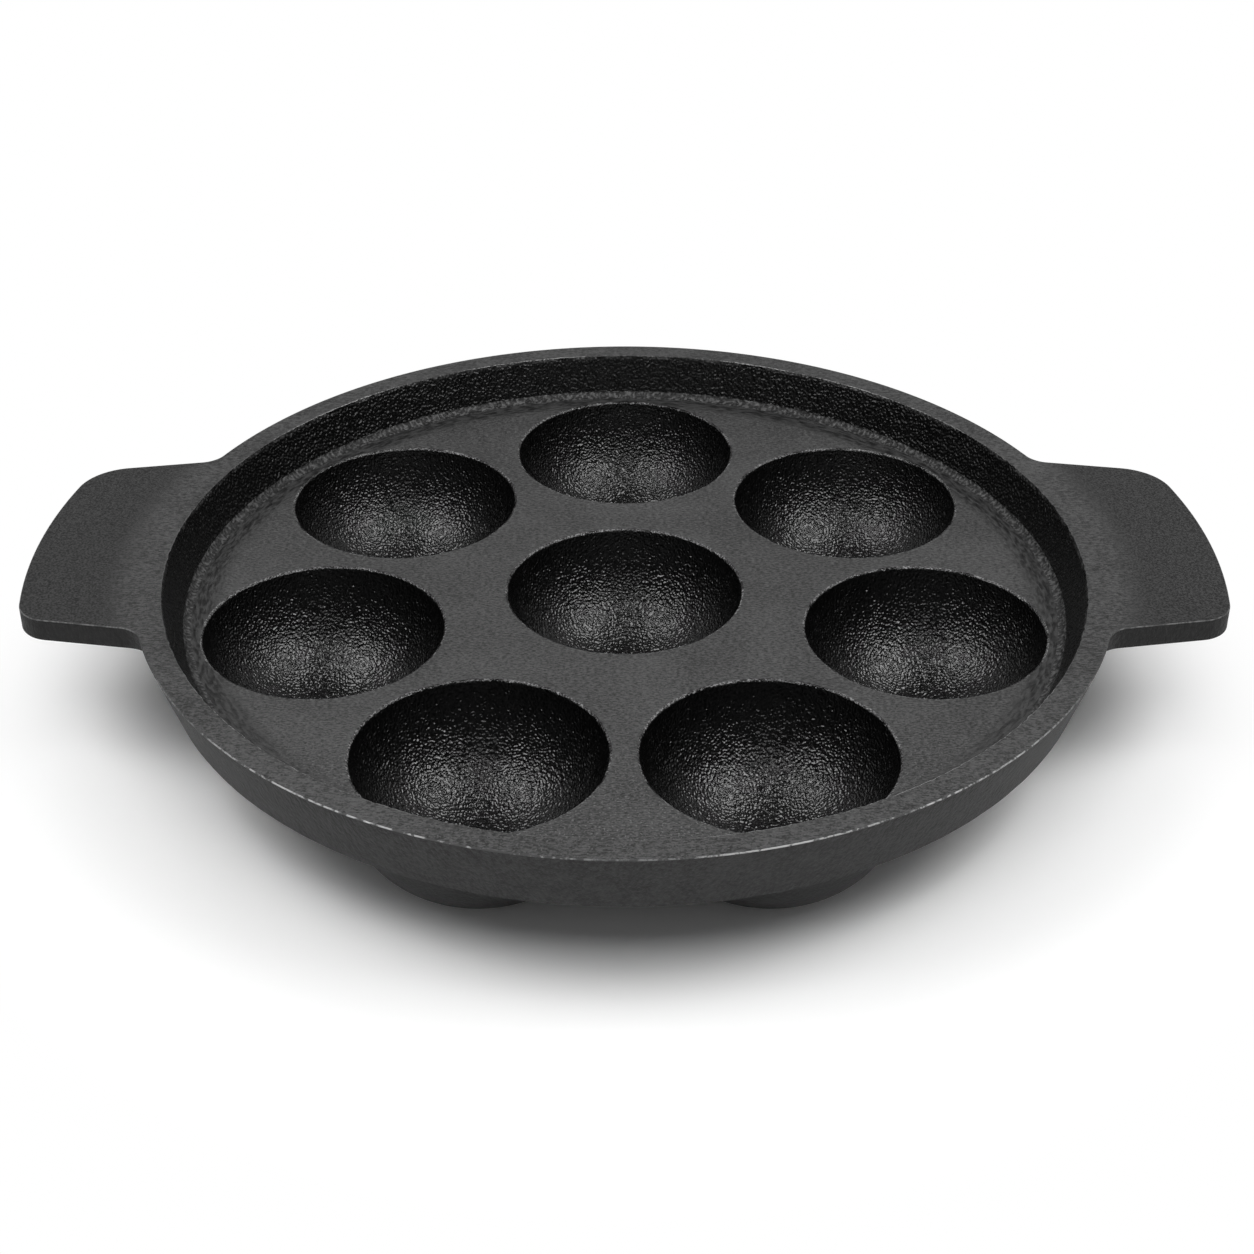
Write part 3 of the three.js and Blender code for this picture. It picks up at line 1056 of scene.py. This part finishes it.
@dataclass
class RimAndHandles:
    """The raised rim with its cove, and the two flat tabs that run out of it."""

    sizes: PanSizes
    finishes: Finishes
    cove_radius: float = 2.2 * MM
    cove_highlight_rows: tuple[int, int] = (1, 6)
    top_width: float = 5.65 * MM
    inner_draft: float = math.radians(24)
    outer_draft: float = math.radians(18)
    tab_reach: float = 23.85 * MM
    tab_width: float = 66.4 * MM
    tab_taper: float = math.radians(9.5)
    tab_thickness: float = 5.0 * MM
    tab_set_back: float = 6.5 * MM
    root_fillet: float = 6.0 * MM
    back_corner: float = 12.0 * MM
    front_corner: float = 7.5 * MM
    under_fillet: float = 2.0 * MM
    fillet_share: float = 0.4
    foot_dip: float = 0.05 * MM
    unevenness: float = 0.07 * MM
    uneven_length: float = 4.0 * MM
    edge_bite: float = 0.22 * MM
    bite_length: float = 1.3 * MM
    rim_steps: int = 250
    bend_steps: int = 22
    end_steps: int = 48
    row_steps: int = 6
    piece: bpy.types.Object | None = None

    @property
    def wall_foot(self) -> float:
        """Radius at which the inner wall would meet the deck without its cove."""
        return self.sizes.cove_start + self.cove_radius * math.tan((QUARTER_TURN - self.inner_draft) / 2)

    @property
    def inner_radius(self) -> float:
        """Radius of the rim's top inner edge."""
        rise = self.sizes.rim_top - self.sizes.deck_top
        return self.wall_foot + rise * math.tan(self.inner_draft)

    @property
    def outer_radius(self) -> float:
        """Radius of the rim's top outer edge."""
        return self.inner_radius + self.top_width

    def wall_radius(self, height: float) -> float:
        """Radius of the outer wall at a height."""
        return self.outer_radius - (self.sizes.rim_top - height) * math.tan(self.outer_draft)

    def _tab_side(self, side: int, corner: float) -> TabSide:
        """Find one long side of the right-hand tab.

        Args:
            side: 1 for the back, -1 for the front.
            corner: Radius of its outer corner.

        Returns:
            The side.
        """
        across = self.tab_set_back + side * self.tab_width / 2
        middle = Vector((self.outer_radius + self.tab_reach / 2, across))
        along = Vector((math.cos(self.tab_taper), -side * math.sin(self.tab_taper)))
        normal = Vector((math.sin(self.tab_taper), side * math.cos(self.tab_taper)))

        def meet(point: Vector, radius: float) -> Vector:
            """Where a line along the side meets a circle about the middle of the pan.

            Args:
                point: A point on the line.
                radius: The circle's radius.

            Returns:
                The meeting point on the tab's side of the pan.
            """
            start = point.dot(along)
            return point + along * (math.sqrt(start ** 2 - point.length_squared + radius ** 2) - start)

        return TabSide(
            fillet=meet(middle + normal * self.root_fillet, self.outer_radius + self.root_fillet),
            corner=meet(middle - normal * corner, self.outer_radius + self.tab_reach - corner),
            lean=math.atan2(normal.y, normal.x))

    @staticmethod
    def _sweep(centre: Vector, radius: float, angles: Span, steps: int, bend: int,
               tabs: Span) -> list[Station]:
        """Stations along an arc of the outline.

        Args:
            centre: The arc's centre.
            radius: Its radius.
            angles: Its first and last angle.
            steps: Number of stretches.
            bend: 1 where the outline bulges out, -1 where it bends in.
            tabs: The handle share at its two ends.

        Returns:
            The stations, both ends included.
        """
        stations = []
        for share in np.linspace(0.0, 1.0, steps + 1):
            angle = angles[0] + (angles[1] - angles[0]) * share
            eased = share * share * (3 - 2 * share)
            c, s = math.cos(angle), math.sin(angle)
            stations.append(Station(centre.x + radius * c, centre.y + radius * s, bend * c, bend * s,
                                    tabs[0] + (tabs[1] - tabs[0]) * eased))
        return stations

    def outline(self) -> list[Station]:
        """The closed outline of the rim and both handles.

        Returns:
            The stations, anticlockwise from the front.
        """
        front, back = self._tab_side(-1, self.front_corner), self._tab_side(1, self.back_corner)
        middle, radius, bend = Vector((0.0, 0.0)), self.outer_radius, self.bend_steps
        on_rim, on_tab = (0.0, 0.0), (1.0, 1.0)
        right = [
            *self._sweep(middle, radius, (-QUARTER_TURN, front.fillet_angle), self.rim_steps, 1, on_rim),
            *self._sweep(front.fillet, self.root_fillet, (front.fillet_angle + math.pi, front.lean + math.pi),
                         bend, -1, (0.0, 1.0)),
            *self._sweep(front.corner, self.front_corner, (front.lean, front.corner_angle), bend, 1, on_tab),
            *self._sweep(middle, radius + self.tab_reach, (front.corner_angle, back.corner_angle),
                         self.end_steps, 1, on_tab),
            *self._sweep(back.corner, self.back_corner, (back.corner_angle, back.lean), bend, 1, on_tab),
            *self._sweep(back.fillet, self.root_fillet, (back.lean + math.pi, back.fillet_angle + math.pi),
                         bend, -1, (1.0, 0.0)),
            *self._sweep(middle, radius, (back.fillet_angle, QUARTER_TURN), self.rim_steps, 1, on_rim),
        ]
        loop = right + [station.mirrored() for station in reversed(right)]
        return [here for here, last in zip(loop, loop[-1:] + loop[:-1])
                if math.hypot(here.x - last.x, here.y - last.y) > SAME_POINT]

    def rows(self, stations: list[Station]) -> list[tuple[np.ndarray, Zone]]:
        """The rows of points that the skin is laid over, from the foot over the top to the underside.

        Args:
            stations: The outline.

        Returns:
            Each row, with one point for each station, and the finish of the strip that follows it.
        """
        plan = np.array([(s.x, s.y) for s in stations])
        normal = np.array([(s.nx, s.ny) for s in stations])
        tab = np.array([s.tab for s in stations])
        out = plan / np.linalg.norm(plan, axis=1, keepdims=True)
        sizes, edge = self.sizes, self.sizes.edge_radius
        top, deck, bottom = sizes.rim_top, sizes.deck_top, sizes.deck_bottom
        shares = np.linspace(0.0, 1.0, self.row_steps + 1)
        rows: list[tuple[np.ndarray, Zone]] = []

        def row(flat: np.ndarray, height: Any) -> np.ndarray:
            """A row of points from its plan and height."""
            return np.column_stack([flat, np.broadcast_to(height, len(stations))])

        def tag(zone: Zone, place: int = -1) -> None:
            """Give the strip after a row, by default the last one, its finish."""
            rows[place] = (rows[place][0], zone)

        def arc(centre: Any, height: Any, radius: Any, angles: Pair, zone: Zone, axis: np.ndarray = out,
                origin: np.ndarray | float = 0.0) -> None:
            """Add the rows of an arc that lies in the plane of an axis and the vertical.

            Args:
                centre: How far along the axis its centre lies.
                height: The centre's height.
                radius: Its radius.
                angles: Its first and last angle.
                zone: The finish.
                axis: The direction of the axis at each station.
                origin: The plan that the axis starts from.
            """
            for share in shares:
                angle = angles[0] + (angles[1] - angles[0]) * share
                reach = np.broadcast_to(centre + radius * np.cos(angle), len(stations))
                rows.append((row(origin + axis * reach[:, None], height + radius * np.sin(angle)), zone))

        def straight(end: np.ndarray, zone: Zone) -> None:
            """Give the strip after the last row a finish, and add the rows on the way to an end.

            Args:
                end: The row that the straight stretch runs to, which is not added.
                zone: The finish.
            """
            tag(zone)
            start = rows[-1][0]
            rows.extend((start * (1 - share) + end * share, zone) for share in shares[1:-1])

        # Foot, cove and inner wall
        rows.append((row(out * sizes.seam_radius, bottom), Zone.UNDERSIDE))
        # The foot and the lowest cove strip take the deck's finish, darkened there as painted shade
        rows.append((row(out * sizes.seam_radius, deck - self.foot_dip), Zone.BORDER))
        first = len(rows)
        arc(sizes.cove_start, deck + self.cove_radius, self.cove_radius, (-QUARTER_TURN, -self.inner_draft),
            Zone.BORDER)
        # The upper cove strips get a pale painted highlight
        for place in range(first + self.cove_highlight_rows[0], len(rows)):
            tag(Zone.COVE_HIGHLIGHT if place < first + self.cove_highlight_rows[1] else Zone.PEBBLED, place)
        inner_run = edge / math.tan((QUARTER_TURN + self.inner_draft) / 2)
        inner_turn = self.inner_radius + inner_run
        wall_head = inner_turn - edge * math.cos(self.inner_draft)
        straight(row(out * wall_head, top - edge + edge * math.sin(self.inner_draft)), Zone.PEBBLED)

        # Inner edge, flat top and outer edge
        arc(inner_turn, top - edge, edge, (math.pi - self.inner_draft, QUARTER_TURN), Zone.INNER_EDGE)
        draft = self.outer_draft * (1 - tab)
        outer_run = edge / np.tan((QUARTER_TURN - draft) / 2)
        straight(row(plan - normal * outer_run[:, None], top), Zone.GROUND)
        arc(-outer_run, top - edge, edge, (QUARTER_TURN, -draft), Zone.OUTER_EDGE, normal, plan)
        tag(Zone.SIDE)

        # Side of the tab, its lower edge and its underside
        ledge = top - self.tab_thickness
        lean_in = self.tab_thickness * np.tan(draft)
        depth = np.linalg.norm(plan - normal * lean_in[:, None] - out * self.wall_radius(ledge), axis=1)
        lower = np.minimum(edge, self.fillet_share * depth)
        inset = -lean_in - lower / np.tan((QUARTER_TURN + draft) / 2)
        arc(inset, ledge + lower, lower, (-draft, -QUARTER_TURN), Zone.SIDE, normal, plan)
        tag(Zone.UNDERSIDE)
        fillet = np.minimum(self.under_fillet, self.fillet_share * depth)
        slope = math.tan(self.outer_draft)
        centre = self.wall_radius(ledge) - fillet * slope + fillet / math.cos(self.outer_draft)
        arc(centre, ledge - fillet, fillet, (QUARTER_TURN, math.pi - self.outer_draft), Zone.UNDERSIDE)

        # Outer wall, its lower edge and the bottom
        lower_run = edge / math.tan((QUARTER_TURN + self.outer_draft) / 2)
        lower_turn = self.wall_radius(bottom) - lower_run
        wall_end = lower_turn + edge * math.cos(self.outer_draft)
        straight(row(out * wall_end, bottom + edge - edge * math.sin(self.outer_draft)), Zone.SIDE)
        arc(lower_turn, bottom + edge, edge, (-self.outer_draft, -QUARTER_TURN), Zone.SIDE)
        tag(Zone.UNDERSIDE)
        return rows

    def build(self) -> None:
        """Make the mesh of the rim and handles."""
        rows = self.rows(self.outline())
        points = np.stack([row for row, _ in rows])
        zones = np.array([zone.value for _, zone in rows])
        self._roughen(points, zones)
        count, around = points.shape[:2]
        index = np.arange(count * around).reshape(count, around)
        next_row, next_station = np.roll(index, -1, axis=0), np.roll(index, -1, axis=1)
        corner = np.roll(next_row, -1, axis=1)
        faces = np.stack([index, next_station, corner, next_row], axis=-1).reshape(-1, 4)
        mesh = bpy.data.meshes.new("rim_and_handles")
        mesh.from_pydata(points.reshape(-1, 3).tolist(), [], faces.tolist())
        mesh.polygons.foreach_set("material_index", np.repeat(zones, around))
        self.piece = put_in_scene("rim_and_handles", mesh)
        close_up(mesh)

    def _roughen(self, points: np.ndarray, zones: np.ndarray) -> None:
        """Give the cast faces the slight swells of a sand mould. The ground top stays flat.

        Args:
            points: The rows of points, changed in place.
            zones: The finish of the strip after each row.
        """
        ground = {Zone.GROUND.value, Zone.OUTER_EDGE.value}
        for row, zone in enumerate(zones):
            height, length = self.unevenness, self.uneven_length
            if Zone.INNER_EDGE.value in (zone, zones[row - 1]):
                height, length = self.edge_bite, self.bite_length
            elif zone in ground or zones[row - 1] in ground:
                continue
            for point in points[row]:
                swell = noise.noise(Vector(point) / length) * height
                point[:2] *= 1 + swell / math.hypot(point[0], point[1])

    def dress(self) -> None:
        """Give each zone its finish and hand the piece in."""
        finishes = self.finishes
        coats = {
            Zone.PEBBLED: finishes.wall, Zone.BORDER: finishes.deck, Zone.COVE_HIGHLIGHT: finishes.cove,
            Zone.INNER_EDGE: finishes.inner_edge_highlight, Zone.GROUND: finishes.top,
            Zone.OUTER_EDGE: finishes.outer_edge_highlight, Zone.SIDE: finishes.side,
            Zone.UNDERSIDE: finishes.underside,
        }
        for zone in Zone:
            self.piece.data.materials.append(coats[zone])
        hand_in(self.piece, ["rim", "handle_left", "handle_right"])


@dataclass(frozen=True)
class Softbox:
    """A soft rectangular lamp that faces the pan."""

    name: str
    direction: Triple
    distance: float
    width: float
    height: float
    power: float
    mirrored: bool = True

    def place(self, target: Vector) -> None:
        """Hang the lamp.

        Args:
            target: The point that it faces.
        """
        lamp = bpy.data.lights.new(self.name, "AREA")
        lamp.shape = "RECTANGLE"
        lamp.size, lamp.size_y, lamp.energy = self.width, self.height, self.power
        holder = put_in_scene(self.name, lamp)
        towards = Vector(self.direction).normalized()
        holder.location = target + towards * self.distance
        holder.rotation_euler = towards.to_track_quat("Z", "Y").to_euler()
        holder.visible_camera = False
        holder.visible_glossy = self.mirrored


@dataclass
class Studio:
    """A plain white floor and surround, soft lamps, and the camera at the photograph's place."""

    camera_place: Triple = (0.00051, -0.41407, 0.28633)
    camera_dip: float = math.radians(32.827)
    lens: float = 63.563
    sensor: float = 36.0
    target_height: float = 30.0 * MM
    floor_radius: float = 4.0
    floor_sides: int = 64
    floor_drop: float = 0.1 * MM
    floor_level: float = 0.92
    floor_gain: float = 1.2
    floor_white: Span = (104.0 * MM, 158.0 * MM)
    dim: float = 0.24
    mirrored_share: float = 0.06
    backdrop_sides: Span = (-0.2, 0.4)
    backdrop_foot: Span = (0.15, 0.4)
    backdrop_heights: Span = (0.45, 0.8)
    backdrop_level: float = 0.65
    band_sides: Span = (0.6, 0.85)
    band_heights: Span = (0.06, 0.24)
    band_level: float = 0.8
    softboxes: tuple[Softbox, ...] = (
        Softbox("softbox_left", direction=(-0.56, -0.14, 0.81), distance=0.8, width=0.38, height=0.38,
                power=1.8),
        Softbox("softbox_right", direction=(0.56, -0.14, 0.81), distance=0.8, width=0.38, height=0.38,
                power=2.0),
        Softbox("softbox_front", direction=(0.0, -0.62, 0.78), distance=0.8, width=0.3, height=0.2,
                power=0.42),
        Softbox("softbox_back", direction=(0.1, 0.72, 0.69), distance=1.1, width=1.3, height=1.2,
                power=0.8),
        Softbox("softbox_top", direction=(0.0, -0.45, 0.9), distance=1.0, width=0.6, height=0.6,
                power=3.6, mirrored=False),
    )

    def build(self) -> None:
        """Set up the floor, the lamps, the surround and the camera."""
        self._lay_floor()
        for softbox in self.softboxes:
            softbox.place(Vector((0.0, 0.0, self.target_height)))
        self._light_surround()
        self._stand_camera()
        bpy.context.scene.view_settings.view_transform = "Standard"

    def _lay_floor(self) -> None:
        """Lay the floor, which turns pure white away from the pan and is clear from below."""
        disc = bmesh.new()
        bmesh.ops.create_circle(disc, cap_ends=True, segments=self.floor_sides, radius=self.floor_radius)
        mesh = bpy.data.meshes.new("floor")
        disc.to_mesh(mesh)
        disc.free()
        mesh.transform(Matrix.Translation((0.0, 0.0, -self.floor_drop)))
        bench = MaterialBench("floor_white")
        camera = bench.add("ShaderNodeLightPath", None, "Is Camera Ray")
        far = bench.step(bench.reach(), *self.floor_white)
        plain, near = (bench.add("ShaderNodeBsdfDiffuse", {"Color": grey(self.floor_level * gain)})
                       for gain in (1.0, self.floor_gain))
        white = bench.add("ShaderNodeEmission", {"Color": WHITE, "Strength": 1.0})
        upper = bench.blend(camera, plain, bench.blend(far, near, white))
        below = bench.add("ShaderNodeNewGeometry", None, "Backfacing")
        floor_shader = bench.blend(below, upper, bench.add("ShaderNodeBsdfTransparent"))
        bench.add("ShaderNodeOutputMaterial", {"Surface": floor_shader})
        mesh.materials.append(bench.material)
        floor = put_in_scene("floor", mesh)

    def _light_surround(self) -> None:
        """Make the surround white to the camera, dim as a light, and mirrored mainly as two bands."""
        world = bpy.data.worlds.new("surround")
        world.use_nodes = True
        bpy.context.scene.world = world
        bench = NodeBench(world.node_tree)
        world.node_tree.nodes.clear()
        camera = bench.add("ShaderNodeLightPath", None, "Is Camera Ray")
        mirror = camera.beside("Is Glossy Ray").larger(camera.beside("Is Transmission Ray"))
        _, behind, rise = bench.xyz(bench.add("ShaderNodeTexCoord", None, "Generated"))

        # A raised band behind the pan and a low one in front of it
        backdrop = bench.step(behind, *self.backdrop_sides) * bench.step(rise, *self.backdrop_foot)
        backdrop = backdrop * (1 - bench.step(rise, *self.backdrop_heights)) * self.backdrop_level
        band = bench.step(-behind, *self.band_sides)
        band = band * (1 - bench.step(rise, *self.band_heights)) * self.band_level

        fill, away, white = (bench.add("ShaderNodeBackground", {"Color": WHITE, "Strength": strength})
                             for strength in (self.dim, self.dim * self.mirrored_share, 1.0))
        seen = camera.larger(mirror * (backdrop + band))
        surround = bench.blend(seen, bench.blend(mirror, fill, away), white)
        bench.add("ShaderNodeOutputWorld", {"Surface": surround})

    def _stand_camera(self) -> None:
        """Stand the camera where the photograph was taken from."""
        camera = bpy.data.cameras.new("camera")
        camera.lens, camera.sensor_width = self.lens, self.sensor
        holder = put_in_scene("camera", camera)
        holder.location = self.camera_place
        holder.rotation_euler = (QUARTER_TURN - self.camera_dip, 0.0, 0.0)
        bpy.context.scene.camera = holder


def main() -> None:
    """Build the pan and its studio."""
    logging.basicConfig(level=logging.INFO, format="%(message)s")
    sizes = PanSizes()
    finishes = Finishes(sizes)
    for part in (Cups(sizes, finishes), Deck(sizes, finishes), RimAndHandles(sizes, finishes)):
        part.build()
        part.dress()
    Studio().build()


if __name__ == "__main__":
    main()
